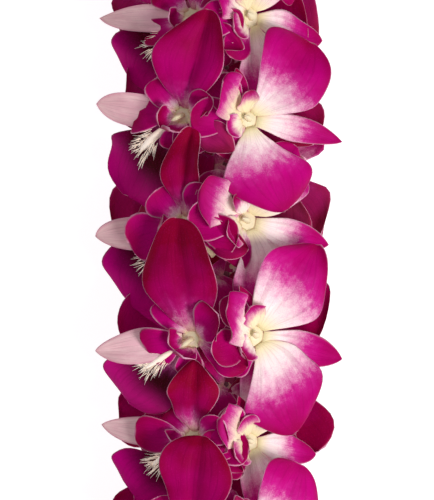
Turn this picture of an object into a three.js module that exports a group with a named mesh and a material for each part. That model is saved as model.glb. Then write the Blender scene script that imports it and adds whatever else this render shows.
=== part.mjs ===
// A fresh orchid lei: whorls of four blooms, threaded through their stalks on a closed loop of thread.
// It lies flat with its hole round the Z axis. Millimetres, +Z up, lowest petals at z = 0.
//
// Everything is first laid out along a straight strand, in strand space:
// x is sideways (outward from the hole), y is the distance along the thread, z is up, and the thread is
// at x = z = 0. A smooth wave then makes each whorl a little different, and the strand is bent into the loop.

import * as THREE from 'three';
import { mergeVertices } from 'three/addons/utils/BufferGeometryUtils.js';

// The loop
const WHORLS = 28;                      // whorls of four blooms round the loop, even because they alternate
const PITCH = 34.2;                     // from whorl to whorl along the thread
const END_RADIUS = 105;                 // of the thread, round each end of the loop
const AXIS_HEIGHT = 19;                 // of the thread above the surface
const FIRST_WHORL = -26.6;              // of the first whorl, from the middle of a straight side
const SHIFT_X = 1.35;                   // of the whole loop, so that its bounds are centred on the Z axis
const SHIFT_Y = 1.0;
const LOOP_LENGTH = WHORLS * PITCH;
const STRAIGHT = LOOP_LENGTH / 2 - Math.PI * END_RADIUS;

// The thread
const THREAD_RADIUS = 0.5;
const KNOT_RADIUS = 1.6;                // of the knot that closes the loop, between two knuckles
const KNOT_HALF = 2.4;                  // half its length
const HOLE_RADIUS = 2.0;                // of the three-sided hole through each knuckle, to its corner
const KNUCKLE_RADIUS = 4.4;             // of the three-sided knuckle where two stalks meet
const KNUCKLE_HALF = 2.6;               // half its length along the thread

// Every bloom
const CORE_RADIUS = 3.2;                // of the six-sided middle that sepals, petals and lip grow from
const CORE_HALF = 0.6;                  // half the thickness of that middle
const COLUMN_HEIGHT = 6;                // of the column that stands up in the middle
const BLADE_HALF = 0.45;                // half the thickness of a sepal, petal or lip
const CLOCK_SPREAD = 2;                 // most that a blade is turned round its bloom by chance, in degrees
const LIFT_SPREAD = 2;                  // most that it is raised or lowered by chance, in degrees
const LENGTH_SPREAD = 0.03;             // most that its length differs by chance, as a fraction

const PETAL_COLOR = 0xa0005c;
const THREAD_COLOR = 0xf2efe6;

// Outlines as [fraction of the length, fraction of the greatest half width]
const PETAL = [[0.4, 0.66], [0.76, 1.0], [1, 0]];
const SEPAL = [[0.42, 1.0], [1, 0]];
const LIP = [[0.34, 0.45], [0.72, 1.0], [1, 0]];

// The six parts of a bloom stand on the six sides of its middle, in this order round it.
const SIDES = ['dorsal', 'petalUp', 'lateralUp', 'lip', 'lateralDown', 'petalDown'];
const OUTLINES = {
  dorsal: SEPAL, petalUp: PETAL, lateralUp: SEPAL, lip: LIP, lateralDown: SEPAL, petalDown: PETAL,
};

// A blade: [clock, lift, curl, length, half width, sweep].
// clock is its direction round the bloom, from the dorsal sepal towards +y. lift is its angle off the
// bloom's face at the root, and curl is added to that by the tip, all in degrees.
// sweep bends it sideways, as a fraction of its length.
const BLOOMS = {
  frontRightOuter: {
    centre: [10.5, 0, 15], face: [0.48, 0, 0.88], dorsal: [0.86, -0.24, -0.45],
    blades: {
      dorsal: [2, -4, 4, 33, 5.2, 0], lip: [176, 46, -36, 18, 6.5, -0.28],
      petalUp: [73, 22, -22, 30, 13.5, 0], petalDown: [-54, 22, -22, 30, 13.5, 0],
      lateralUp: [127, 6, 0, 15, 3, 0], lateralDown: [238, -40, 0, 10.5, 3.2, 0],
    },
  },
  frontRightInner: {
    centre: [9.5, 0, 12], face: [0.48, 0, 0.88], dorsal: [0.86, -0.24, -0.45],
    blades: {
      dorsal: [2, -2, 2, 25, 5.2, 0], lip: [176, 42, -34, 17, 6, -0.28],
      petalUp: [73, -1, -4, 28, 12.5, 0], petalDown: [-54, -1, -4, 28, 12.5, 0],
      lateralUp: [127, 6, 0, 15, 3, 0], lateralDown: [238, -40, 0, 10.5, 3.2, 0],
    },
  },
  frontLeftOuter: {
    centre: [-10.5, 0, 17], face: [-0.3, 0, 0.95], dorsal: [0.86, 0.4, 0.28],
    blades: {
      dorsal: [-4, 30, -20, 11.5, 3.2, 0], lip: [203, 2, -42, 33, 13, 0],
      petalUp: [56, 32, -36, 35, 13.5, 0], petalDown: [-54, 4, -12, 20, 6.5, 0],
      lateralUp: [156, 8, -12, 29, 5.6, 0], lateralDown: [253, 16, -30, 11, 3, 0],
    },
  },
  frontLeftInner: {
    centre: [-9.5, 0, 14], face: [-0.3, 0, 0.95], dorsal: [0.86, 0.4, 0.28],
    blades: {
      dorsal: [2, 30, -20, 11, 3.2, 0], lip: [203, 2, -34, 31, 12.5, 0],
      petalUp: [60, 30, -26, 29.5, 9, 0], petalDown: [-50, 4, -12, 18, 6, 0],
      lateralUp: [156, 7, -12, 28, 5.2, 0], lateralDown: [254, 4, -10, 11, 3, 0],
    },
  },
  backRightOuter: {
    centre: [12, 0, -13], face: [0.46, 0, -0.89], dorsal: [0.88, 0.22, 0.45],
    blades: {
      dorsal: [0, -20, 12, 19, 4.2, 0], lip: [180, 24, -30, 10, 5, 0],
      petalUp: [58, 22, -26, 28.5, 13, 0], petalDown: [-58, 22, -26, 28.5, 13, 0],
      lateralUp: [122, 8, -10, 14, 4, 0], lateralDown: [238, 8, -10, 14, 4, 0],
    },
  },
  backRightInner: {
    centre: [11.5, 0, -10], face: [0.46, 0, -0.89], dorsal: [0.88, 0.22, 0.45],
    blades: {
      dorsal: [0, -8, 6, 16, 4, 0], lip: [180, 24, -30, 9.5, 5, 0],
      petalUp: [58, 4, -6, 27, 12, 0], petalDown: [-58, 4, -6, 27, 12, 0],
      lateralUp: [122, 8, -10, 13.5, 4, 0], lateralDown: [238, 8, -10, 13.5, 4, 0],
    },
  },
};

// The same bloom on the other side of the strand.
function mirrored(bloom) {
  const flip = ([x, y, z]) => [-x, y, z];
  return {
    centre: flip(bloom.centre), face: flip(bloom.face), dorsal: flip(bloom.dorsal), blades: bloom.blades,
  };
}
BLOOMS.backLeftOuter = mirrored(BLOOMS.backRightOuter);
BLOOMS.backLeftInner = mirrored(BLOOMS.backRightInner);

// A small petal that grows from the free face of each knuckle and closes the gap between the two rows.
const INNER_PETAL = [0, 75, -70, 15, 6.5, 0];

const radians = THREE.MathUtils.degToRad;
const vector = (numbers) => new THREE.Vector3(...numbers);
const middleOf = (points) => points.reduce((sum, point) => sum.add(point), vector([0, 0, 0]))
  .divideScalar(points.length);

// A new seeded series of numbers between -1 and 1, by a multiplicative congruential rule.
function series(seed) {
  let state = (seed * 7919 + 12345) % 2147483647;
  return () => {
    state = (state * 16807) % 2147483647;
    return 2 * state / 2147483647 - 1;
  };
}

// Strand space: the smooth wave that sways, swells and slides the whorls, all in whole waves round the loop.
function wave(p) {
  const round = 2 * Math.PI * p.y / LOOP_LENGTH;
  const turn = 0.09 * Math.sin(5 * round + 0.6) + 0.05 * Math.sin(11 * round);
  const swell = 1 + 0.03 * Math.sin(7 * round + 1.1) + 0.02 * Math.sin(13 * round + 2);
  const x = swell * (p.x * Math.cos(turn) - p.z * Math.sin(turn));
  const z = swell * (p.x * Math.sin(turn) + p.z * Math.cos(turn));
  const y = p.y + 1.5 * Math.sin(9 * round + 0.4) + 0.08 * x * Math.sin(8 * round + 2);
  return new THREE.Vector3(x, y, z);
}

// From strand space to the loop: two straight sides joined by half circles, anticlockwise from the middle
// of the side at +X.
function bend(p) {
  const half = STRAIGHT / 2;
  const arc = Math.PI * END_RADIUS;
  const y = ((p.y % LOOP_LENGTH) + LOOP_LENGTH) % LOOP_LENGTH;
  const out = END_RADIUS + p.x;
  if (y < half) return new THREE.Vector3(out, y, p.z);
  if (y < half + arc) {
    const angle = (y - half) / END_RADIUS;
    return new THREE.Vector3(out * Math.cos(angle), half + out * Math.sin(angle), p.z);
  }
  if (y < half + arc + STRAIGHT) return new THREE.Vector3(-out, half - (y - half - arc), p.z);
  if (y < half + 2 * arc + STRAIGHT) {
    const angle = Math.PI + (y - half - arc - STRAIGHT) / END_RADIUS;
    return new THREE.Vector3(out * Math.cos(angle), -half + out * Math.sin(angle), p.z);
  }
  return new THREE.Vector3(out, y - LOOP_LENGTH, p.z);
}

// The place in the finished lei of a point of the straight strand, kept above the surface by `lift`.
function place(point, lift = 0) {
  const p = bend(wave(point));
  return p.set(p.x + SHIFT_X, p.y + SHIFT_Y, Math.max(p.z + AXIS_HEIGHT, lift));
}

// The axes of a bloom: n out of its face, d to its dorsal sepal, w across, on the side towards +y.
function axesOf(bloom) {
  const n = vector(bloom.face).normalize();
  const d = vector(bloom.dorsal);
  d.addScaledVector(n, -d.dot(n)).normalize();
  const w = new THREE.Vector3().crossVectors(n, d);
  const turned = w.y < 0;
  if (turned) w.negate();
  return { n, d, w, turned };
}

// A point on a blade's middle surface and its normal: t along it, v across it from -1 to 1.
// The middle line is an arc whose angle off the bloom's face goes evenly from lift to lift + curl.
function bladeSection(origin, axes, [clock, lift, curl, length, , sweep], t) {
  const c = radians(clock);
  const along = axes.d.clone().multiplyScalar(Math.cos(c)).addScaledVector(axes.w, Math.sin(c));
  const across = axes.d.clone().multiplyScalar(-Math.sin(c)).addScaledVector(axes.w, Math.cos(c));
  const a = radians(lift);
  const k = radians(Math.abs(curl) < 1 ? 1 : curl);
  const reach = length * (Math.sin(a + k * t) - Math.sin(a)) / k;
  const rise = length * (Math.cos(a) - Math.cos(a + k * t)) / k;
  const middle = origin.clone()
    .addScaledVector(along, CORE_RADIUS * Math.cos(Math.PI / 6) + reach)
    .addScaledVector(axes.n, rise)
    .addScaledVector(across, sweep * length * t * t);
  const normal = axes.n.clone().multiplyScalar(Math.cos(a + k * t))
    .addScaledVector(along, -Math.sin(a + k * t));
  return { middle, across, normal };
}

// The three lengthwise edges of a knuckle round the thread, each as its two ends. The face from edge 0 to
// edge 1 and the face from edge 2 to edge 0 look to the two sides of middleAngle, the third away from it.
function knuckleRing(radius, y, middleAngle) {
  return [0, 1, 2].map((k) => {
    const angle = middleAngle + Math.PI + (k - 1) * 2 * Math.PI / 3 - Math.PI / 3;
    return [-1, 1].map((end) => new THREE.Vector3(
      radius * Math.cos(angle), y + end * KNUCKLE_HALF, radius * Math.sin(angle)));
  });
}

// Two blooms whose stalks meet in a knuckle on the thread, as one closed list of triangles in the finished lei
function pairTriangles(kinds, y, random) {
  const blooms = kinds.map((kind) => BLOOMS[kind]);
  const toBlooms = middleOf(blooms.map((bloom) => vector(bloom.centre)));
  const middleAngle = Math.atan2(toBlooms.z, toBlooms.x);
  const outer = knuckleRing(KNUCKLE_RADIUS, y, middleAngle);
  const inner = knuckleRing(HOLE_RADIUS, y, middleAngle);
  const triangles = [];
  const quad = (a, b, c, d) => triangles.push([a, b, c].map((p) => place(p)), [a, c, d].map((p) => place(p)));

  const faceCorners = [0, 1, 2].map((k) => {
    const next = (k + 1) % 3;
    quad(inner[k][0], inner[next][0], inner[next][1], inner[k][1]);
    quad(outer[k][0], outer[next][0], inner[next][0], inner[k][0]);
    quad(outer[k][1], inner[k][1], inner[next][1], outer[next][1]);
    return [outer[k][0], outer[k][1], outer[next][1], outer[next][0]];
  });

  // Each bloom takes the face that looks towards it most, and a small inner petal grows from the last one.
  const taken = new Set();
  for (const bloom of blooms) {
    const towards = vector(bloom.centre);
    const score = faceCorners.map((face, k) => (taken.has(k) ? -Infinity
      : face.reduce((sum, corner) => sum + corner.x * towards.x + corner.z * towards.z, 0)));
    const best = score.indexOf(Math.max(...score));
    taken.add(best);
    triangles.push(...bloomTriangles(bloom, y, faceCorners[best], random));
  }
  const free = faceCorners.find((_, k) => !taken.has(k));
  triangles.push(...innerPetalTriangles(free, y, -Math.sign(toBlooms.z), random));
  return triangles;
}

// The knuckle's own small petal, upwards (up = 1) or downwards (up = -1) and then bent over along the thread
function innerPetalTriangles(corners, y, up, random) {
  const axes = { n: vector([0, 0, up]), d: vector([0, -up, 0]), w: vector([1, 0, 0]) };
  const cornerAt = (side, end) => place(corners.find(
    (corner) => corner.x * side > 0 && (corner.y - y) * end > 0));
  const root = [cornerAt(-1, up), cornerAt(1, up), cornerAt(1, -up), cornerAt(-1, -up)];
  const origin = middleOf(corners).addScaledVector(axes.d, -CORE_RADIUS * Math.cos(Math.PI / 6));
  return bladeTriangles(origin, axes, chanced(INNER_PETAL, random), PETAL, root);
}

// A copy of a blade with its clock, lift and length changed a little by chance
function chanced(blade, random) {
  const [clock, lift, curl, length, halfWidth, sweep] = blade;
  return [clock + CLOCK_SPREAD * random(), lift + LIFT_SPREAD * random(), curl,
    length * (1 + LENGTH_SPREAD * random()), halfWidth, sweep];
}

// The two sides of a blade at a point of its middle surface. A point on the lower side may lie on the
// surface, and the one above it is a blade's thickness up.
function bothSides(axes, middle, normal, half) {
  const facesDown = axes.n.z < 0;
  return [1, -1].map((side) => {
    const point = middle.clone().addScaledVector(normal, side * half);
    return place(point, (side > 0) === facesDown ? 0 : 1.5 * half);
  });
}

// A blade grown from the four placed corners of its root: before and after on the upper side, then after
// and before on the lower side. Every station adds four corners, and the last one closes to an edge.
function bladeTriangles(origin, axes, blade, outline, root) {
  const triangles = [];
  const face = (a, b, c) => triangles.push(axes.turned ? [a, c, b] : [a, b, c]);
  const sheet = (a, b, c, d) => { face(a, b, c); face(a, c, d); };
  let [a, d, e, b] = root;
  for (const [t, wide] of outline) {
    const { middle, across, normal } = bladeSection(origin, axes, blade, t);
    if (wide > 0) {
      const half = wide * blade[4];
      const [[leftTop, leftBase], [rightTop, rightBase]] = [-half, half].map((side) => bothSides(
        axes, middle.clone().addScaledVector(across, side), normal, BLADE_HALF));
      sheet(a, leftTop, rightTop, d);
      sheet(b, e, rightBase, leftBase);
      sheet(a, b, leftBase, leftTop);
      sheet(d, rightTop, rightBase, e);
      [a, d, e, b] = [leftTop, rightTop, rightBase, leftBase];
    } else {
      const [top, base] = bothSides(axes, middle, normal, BLADE_HALF);
      face(a, top, d);
      face(b, e, base);
      sheet(a, b, base, top);
      sheet(d, top, base, e);
    }
  }
  return triangles;
}

// One bloom with its stalk, open only where the stalk meets the four corners of its face of the knuckle
function bloomTriangles(bloom, y, stalkEnd, random) {
  const axes = axesOf(bloom);
  const origin = vector(bloom.centre);
  origin.y += y;
  const triangles = [];
  const face = (a, b, c) => triangles.push(axes.turned ? [a, c, b] : [a, b, c]);
  const sheet = (a, b, c, d) => { face(a, b, c); face(a, c, d); };

  // The six-sided middle, with corner k between side k and side k + 1, and the column on it
  const corners = SIDES.map((_, k) => {
    const c = radians(60 * k + 30);
    const corner = origin.clone()
      .addScaledVector(axes.d, CORE_RADIUS * Math.cos(c)).addScaledVector(axes.w, CORE_RADIUS * Math.sin(c));
    return bothSides(axes, corner, axes.n, CORE_HALF);
  });
  const columnTip = place(origin.clone().addScaledVector(axes.n, COLUMN_HEIGHT));
  SIDES.forEach((_, k) => face(columnTip, corners[k][0], corners[(k + 1) % 6][0]));

  // The stalk, from the six corners to the four of the knuckle's face, in order round the bloom
  const middle = middleOf(stalkEnd);
  const rootAt = (d, w) => place(stalkEnd.find((corner) => {
    const offset = corner.clone().sub(middle);
    return offset.dot(axes.d) * d > 0 && offset.dot(axes.w) * w > 0;
  }));
  const quarter = [rootAt(1, 1), rootAt(-1, 1), rootAt(-1, -1), rootAt(1, -1)];
  const under = corners.map((corner) => corner[1]);
  for (const half of [0, 1]) {
    const [a, b, c, d] = [3 * half, 3 * half + 1, 3 * half + 2, (3 * half + 3) % 6].map((k) => under[k]);
    const [q, r, next] = [quarter[2 * half], quarter[2 * half + 1], quarter[(2 * half + 2) % 4]];
    face(b, a, q);
    face(b, q, r);
    face(c, b, r);
    sheet(d, c, r, next);
  }

  // The blades, each grown from its side of the middle
  SIDES.forEach((name, k) => {
    const before = corners[(k + 5) % 6];
    const after = corners[k];
    const blade = chanced(bloom.blades[name], random);
    const root = [before[0], after[0], after[1], before[1]];
    triangles.push(...bladeTriangles(origin, axes, blade, OUTLINES[name], root));
  });
  return triangles;
}

// A geometry from a closed list of triangles whose corners are equal where they meet
function geometryOf(triangles) {
  const geometry = new THREE.BufferGeometry().setFromPoints(triangles.flat());
  return mergeVertices(geometry, 1e-5);
}

function meshOf(name, triangles, color, roughness) {
  const material = new THREE.MeshStandardMaterial({ color, roughness, metalness: 0 });
  const mesh = new THREE.Mesh(geometryOf(triangles), material);
  mesh.name = name;
  return mesh;
}

// The thread: a closed loop of square section, with a ring of corners at every knuckle and three at the knot
function threadTriangles() {
  const stations = Array.from({ length: 2 * WHORLS }, (_, i) => [FIRST_WHORL + i * PITCH / 2, THREAD_RADIUS]);
  const knot = FIRST_WHORL + PITCH / 4;
  const [start, end] = [knot - KNOT_HALF, knot + KNOT_HALF];
  stations.splice(1, 0, [start, THREAD_RADIUS], [knot, KNOT_RADIUS], [end, THREAD_RADIUS]);
  const rings = stations.map(([y, radius]) => [0, 1, 2, 3].map((k) => place(new THREE.Vector3(
    radius * Math.cos(k * Math.PI / 2), y, radius * Math.sin(k * Math.PI / 2)))));
  return rings.flatMap((ring, i) => {
    const nextRing = rings[(i + 1) % rings.length];
    return ring.flatMap((corner, k) => {
      const next = (k + 1) % ring.length;
      return [[corner, nextRing[k], nextRing[next]], [corner, nextRing[next], ring[next]]];
    });
  });
}

const lei = new THREE.Group();
for (let i = 0; i < WHORLS; i++) {
  const layer = i % 2 === 0 ? 'Outer' : 'Inner';
  const label = String(i + 1).padStart(2, '0');
  const y = FIRST_WHORL + i * PITCH;
  const upper = pairTriangles([`frontRight${layer}`, `frontLeft${layer}`], y, series(2 * i + 1));
  lei.add(meshOf(`blooms_upper_${label}`, upper, PETAL_COLOR, 0.55));
  const lower = pairTriangles([`backRight${layer}`, `backLeft${layer}`], y - PITCH / 2, series(2 * i + 2));
  lei.add(meshOf(`blooms_lower_${label}`, lower, PETAL_COLOR, 0.55));
}
lei.add(meshOf('thread', threadTriangles(), THREAD_COLOR, 0.8));

export default lei;
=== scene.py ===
"""A fresh orchid lei lying on a pale surface, seen from above along one of its straight sides.

Every bloom is worked out in strand space, in millimetres: x is sideways (outward from the hole), y is the
distance along the thread, z is up, and the thread is at x = z = 0. A smooth wave then moves each whorl a
little and the strand is bent into the loop, as in the part's own source.
"""
import math

import bpy
import numpy as np
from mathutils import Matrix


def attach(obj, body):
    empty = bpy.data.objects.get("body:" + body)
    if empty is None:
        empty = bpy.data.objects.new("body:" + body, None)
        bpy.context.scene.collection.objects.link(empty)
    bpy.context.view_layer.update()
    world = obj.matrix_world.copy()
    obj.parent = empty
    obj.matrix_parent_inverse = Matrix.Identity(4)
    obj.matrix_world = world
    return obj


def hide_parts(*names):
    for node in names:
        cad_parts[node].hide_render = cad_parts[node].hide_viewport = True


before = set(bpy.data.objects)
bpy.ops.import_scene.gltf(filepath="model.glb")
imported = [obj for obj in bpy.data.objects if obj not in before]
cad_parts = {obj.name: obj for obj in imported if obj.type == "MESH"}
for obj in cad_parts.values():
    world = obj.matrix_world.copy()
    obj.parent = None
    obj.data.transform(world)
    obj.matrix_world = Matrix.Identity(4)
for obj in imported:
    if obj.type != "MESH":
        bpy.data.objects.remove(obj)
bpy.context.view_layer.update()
scene = bpy.context.scene

# The camera

LOOK_X, LOOK_Y = 0.10539, 0.001    # the place on the lei that the camera looks straight down on, in metres
VIEW_HEIGHT = 0.160                # of the stretch of lei that the picture shows
EYE_HEIGHT = 0.90                  # of the camera above the blooms
BLOOM_HEIGHT = 0.032               # of the blooms' faces above the surface

camera_data = bpy.data.cameras.new("camera")
camera_data.sensor_fit = "VERTICAL"
camera_data.sensor_height = 24
camera_data.lens = camera_data.sensor_height * EYE_HEIGHT / VIEW_HEIGHT
camera_data.clip_end = 20
camera = bpy.data.objects.new("camera", camera_data)
camera.location = (LOOK_X, LOOK_Y, BLOOM_HEIGHT + EYE_HEIGHT)
scene.collection.objects.link(camera)
scene.camera = camera

# The strand and the loop

WHORLS = 28                # whorls of four blooms round the loop
PITCH = 34.2               # from whorl to whorl along the thread
END_RADIUS = 105           # of the thread, round each end of the loop
AXIS_HEIGHT = 19           # of the thread above the surface
FIRST_WHORL = -26.6        # of the first whorl, from the middle of a straight side
SHIFT_X = 1.35             # of the whole loop, which centres the part on the Z axis
SHIFT_Y = 1.0
LOOP_LENGTH = WHORLS * PITCH
STRAIGHT = LOOP_LENGTH / 2 - math.pi * END_RADIUS

CORE_RADIUS = 3.2          # of a bloom's six-sided middle, to its corners
ROOT_RADIUS = CORE_RADIUS * math.cos(math.pi / 6)    # to its sides, where sepals, petals and lip start
CLOCK_SPREAD = 2           # most that a blade is turned round its bloom in the part, in degrees
LIFT_SPREAD = 2            # most that it is raised or lowered there, in degrees
LENGTH_SPREAD = 0.03       # most that its length differs there, as a fraction
THREAD_RADIUS = 0.5
KNUCKLE_RADIUS = 4.4       # of the place on the thread where two stalks meet

SIDES = ["dorsal", "petalUp", "lateralUp", "lip", "lateralDown", "petalDown"]

# A blade is (clock, lift, curl, length, half width, sweep), with angles in degrees. clock is its direction
# round the bloom from the dorsal sepal towards +y, lift its angle off the bloom's face at the root, curl
# what is added to that by the tip, and sweep how far its middle line bends sideways by the tip.
INNER_PETAL = (0, 75, -70, 15, 6.5, 0)
BLOOMS = {
    "frontRightOuter": dict(
        centre=(10.5, 0, 15), face=(0.48, 0, 0.88), dorsal=(0.86, -0.24, -0.45),
        blades=dict(
            dorsal=(2, -4, 4, 33, 5.2, 0), lip=(176, 46, -36, 18, 6.5, -0.28),
            petalUp=(73, 22, -22, 30, 13.5, 0), petalDown=(-54, 22, -22, 30, 13.5, 0),
            lateralUp=(127, 6, 0, 15, 3, 0), lateralDown=(238, -40, 0, 10.5, 3.2, 0))),
    "frontRightInner": dict(
        centre=(9.5, 0, 12), face=(0.48, 0, 0.88), dorsal=(0.86, -0.24, -0.45),
        blades=dict(
            dorsal=(2, -2, 2, 25, 5.2, 0), lip=(176, 42, -34, 17, 6, -0.28),
            petalUp=(73, -1, -4, 28, 12.5, 0), petalDown=(-54, -1, -4, 28, 12.5, 0),
            lateralUp=(127, 6, 0, 15, 3, 0), lateralDown=(238, -40, 0, 10.5, 3.2, 0))),
    "frontLeftOuter": dict(
        centre=(-10.5, 0, 17), face=(-0.3, 0, 0.95), dorsal=(0.86, 0.4, 0.28),
        blades=dict(
            dorsal=(-4, 30, -20, 11.5, 3.2, 0), lip=(203, 2, -42, 33, 13, 0),
            petalUp=(56, 32, -36, 35, 13.5, 0), petalDown=(-54, 4, -12, 20, 6.5, 0),
            lateralUp=(156, 8, -12, 29, 5.6, 0), lateralDown=(253, 16, -30, 11, 3, 0))),
    "frontLeftInner": dict(
        centre=(-9.5, 0, 14), face=(-0.3, 0, 0.95), dorsal=(0.86, 0.4, 0.28),
        blades=dict(
            dorsal=(2, 30, -20, 11, 3.2, 0), lip=(203, 2, -34, 31, 12.5, 0),
            petalUp=(60, 30, -26, 29.5, 9, 0), petalDown=(-50, 4, -12, 18, 6, 0),
            lateralUp=(156, 7, -12, 28, 5.2, 0), lateralDown=(254, 4, -10, 11, 3, 0))),
    "backRightOuter": dict(
        centre=(12, 0, -13), face=(0.46, 0, -0.89), dorsal=(0.88, 0.22, 0.45),
        blades=dict(
            dorsal=(0, -20, 12, 19, 4.2, 0), lip=(180, 24, -30, 10, 5, 0),
            petalUp=(58, 22, -26, 28.5, 13, 0), petalDown=(-58, 22, -26, 28.5, 13, 0),
            lateralUp=(122, 8, -10, 14, 4, 0), lateralDown=(238, 8, -10, 14, 4, 0))),
    "backRightInner": dict(
        centre=(11.5, 0, -10), face=(0.46, 0, -0.89), dorsal=(0.88, 0.22, 0.45),
        blades=dict(
            dorsal=(0, -8, 6, 16, 4, 0), lip=(180, 24, -30, 9.5, 5, 0),
            petalUp=(58, 4, -6, 27, 12, 0), petalDown=(-58, 4, -6, 27, 12, 0),
            lateralUp=(122, 8, -10, 13.5, 4, 0), lateralDown=(238, 8, -10, 13.5, 4, 0))),
}


def mirrored(bloom):
    """The same bloom on the other side of the strand."""
    def flip(vector):
        return (-vector[0], vector[1], vector[2])
    return dict(centre=flip(bloom["centre"]), face=flip(bloom["face"]), dorsal=flip(bloom["dorsal"]),
                blades=bloom["blades"])


BLOOMS["backLeftOuter"] = mirrored(BLOOMS["backRightOuter"])
BLOOMS["backLeftInner"] = mirrored(BLOOMS["backRightInner"])


def series(seed):
    """A seeded series of numbers between -1 and 1, by a multiplicative congruential rule."""
    state = (seed * 7919 + 12345) % 2147483647

    def draw():
        """The next number of the series."""
        nonlocal state
        state = (state * 16807) % 2147483647
        return 2 * state / 2147483647 - 1
    return draw


def wave(p):
    """Strand space to strand space: turns, swells and slides each cross-section by sines of its y."""
    around = 2 * math.pi * p[..., 1] / LOOP_LENGTH
    turn = 0.09 * np.sin(5 * around + 0.6) + 0.05 * np.sin(11 * around)
    swell = 1 + 0.03 * np.sin(7 * around + 1.1) + 0.02 * np.sin(13 * around + 2)
    x = swell * (p[..., 0] * np.cos(turn) - p[..., 2] * np.sin(turn))
    z = swell * (p[..., 0] * np.sin(turn) + p[..., 2] * np.cos(turn))
    y = p[..., 1] + 1.5 * np.sin(9 * around + 0.4) + 0.08 * x * np.sin(8 * around + 2)
    return np.stack([x, y, z], axis=-1)


def bend(p):
    """Strand space to the loop: two straight sides joined by half circles. The angle turned so far and the
    centre's place on the long axis are sums of clipped distances, so one formula serves all round."""
    half = STRAIGHT / 2
    arc = math.pi * END_RADIUS
    y = np.mod(p[..., 1], LOOP_LENGTH)
    out = END_RADIUS + p[..., 0]
    angle = (np.clip(y - half, 0, arc) + np.clip(y - half - arc - STRAIGHT, 0, arc)) / END_RADIUS
    centre = (np.clip(y, 0, half) - np.clip(y - half - arc, 0, STRAIGHT)
              + np.clip(y - half - 2 * arc - STRAIGHT, 0, half))
    return np.stack([out * np.cos(angle), centre + out * np.sin(angle), p[..., 2]], axis=-1)


def place(points, lift=0.0):
    """Strand space in mm to the finished lei in metres, kept above the surface by lift."""
    p = bend(wave(points)) + (SHIFT_X, SHIFT_Y, AXIS_HEIGHT)
    p[..., 2] = np.maximum(p[..., 2], lift)
    return p / 1000


def smooth(low, high, value):
    """0 below low, 1 above high, and a smooth cubic between."""
    s = np.clip((value - low) / (high - low), 0, 1)
    return s * s * (3 - 2 * s)


def unit(vector):
    """The vector at a length of 1."""
    vector = np.asarray(vector, float)
    return vector / np.linalg.norm(vector)


def axes_of(bloom):
    """n out of the bloom's face, d to its dorsal sepal, w across towards +y, and whether w is turned."""
    n = unit(bloom["face"])
    d = np.asarray(bloom["dorsal"], float)
    d = unit(d - d.dot(n) * n)
    w = np.cross(n, d)
    turned = w[1] < 0
    return n, d, -w if turned else w, turned


# The shapes of blades

def petal_width(t):
    """A narrow claw that widens as a raised sine, then ends as half an ellipse."""
    claw = 0.12 + 0.88 * np.sin(np.pi / 2 * np.clip(t / 0.7, 0, 1)) ** 1.2
    end = np.clip(1 - (np.clip(t - 0.66, 0, 1) / 0.34) ** 2.6, 0, 1) ** 0.55
    return claw * end


def sepal_width(t):
    """A broad claw, widest before the middle, then a curve that runs out to a blunt point."""
    claw = 0.4 + 0.6 * np.sin(np.pi / 2 * np.clip(t / 0.42, 0, 1)) ** 1.2
    end = np.clip(1 - np.clip((t - 0.36) / 0.64, 0, 1) ** 2.4, 0, 1) ** 0.75
    return claw * end


def lip_width(t):
    """A waisted throat, then a broad blade with a rounded end."""
    claw = 0.2 + 0.35 * smooth(0, 0.25, t) + 0.6 * smooth(0.25, 0.62, t)
    end = np.sqrt(np.clip(1 - (np.clip(t - 0.66, 0, 1) / 0.34) ** 2.6, 0, 1))
    return claw * end


WIDTHS = dict(dorsal=sepal_width, lateralUp=sepal_width, lateralDown=sepal_width,
              petalUp=petal_width, petalDown=petal_width, lip=lip_width)

TIP_STATION = 0.997                # of a blade's last ring, as a share of its length
EDGE_REACH = 0.92                  # how much of a half sine the columns across a blade are spaced by
TIP_HALF, ROOT_EXTRA = 0.24, 0.36  # half a blade's thickness at its tip, and what its root has more
UPPER_CLEAR, LOWER_CLEAR = 0.6, 0.15    # the least heights of a blade's two sides above the surface
NO_RIM = 9.0                       # a margin past which no rim is painted


def shell_faces(rows, ring):
    """Faces of a closed sleeve of rows rings of ring corners, with a fan at each end. The last two
    vertices are the root's and the tip's."""
    i = np.arange(rows - 1)[:, None] * ring
    j = np.arange(ring)[None, :]
    k = (j + 1) % ring
    quads = np.stack([i + j, i + k, i + ring + k, i + ring + j], axis=-1).reshape(-1, 4)
    last = (rows - 1) * ring
    around = np.arange(ring)
    nxt = (around + 1) % ring
    root = np.stack([np.full(ring, rows * ring), nxt, around], axis=-1)
    tip = np.stack([last + around, last + nxt, np.full(ring, rows * ring + 1)], axis=-1)
    return quads, np.vstack([root, tip])


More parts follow.
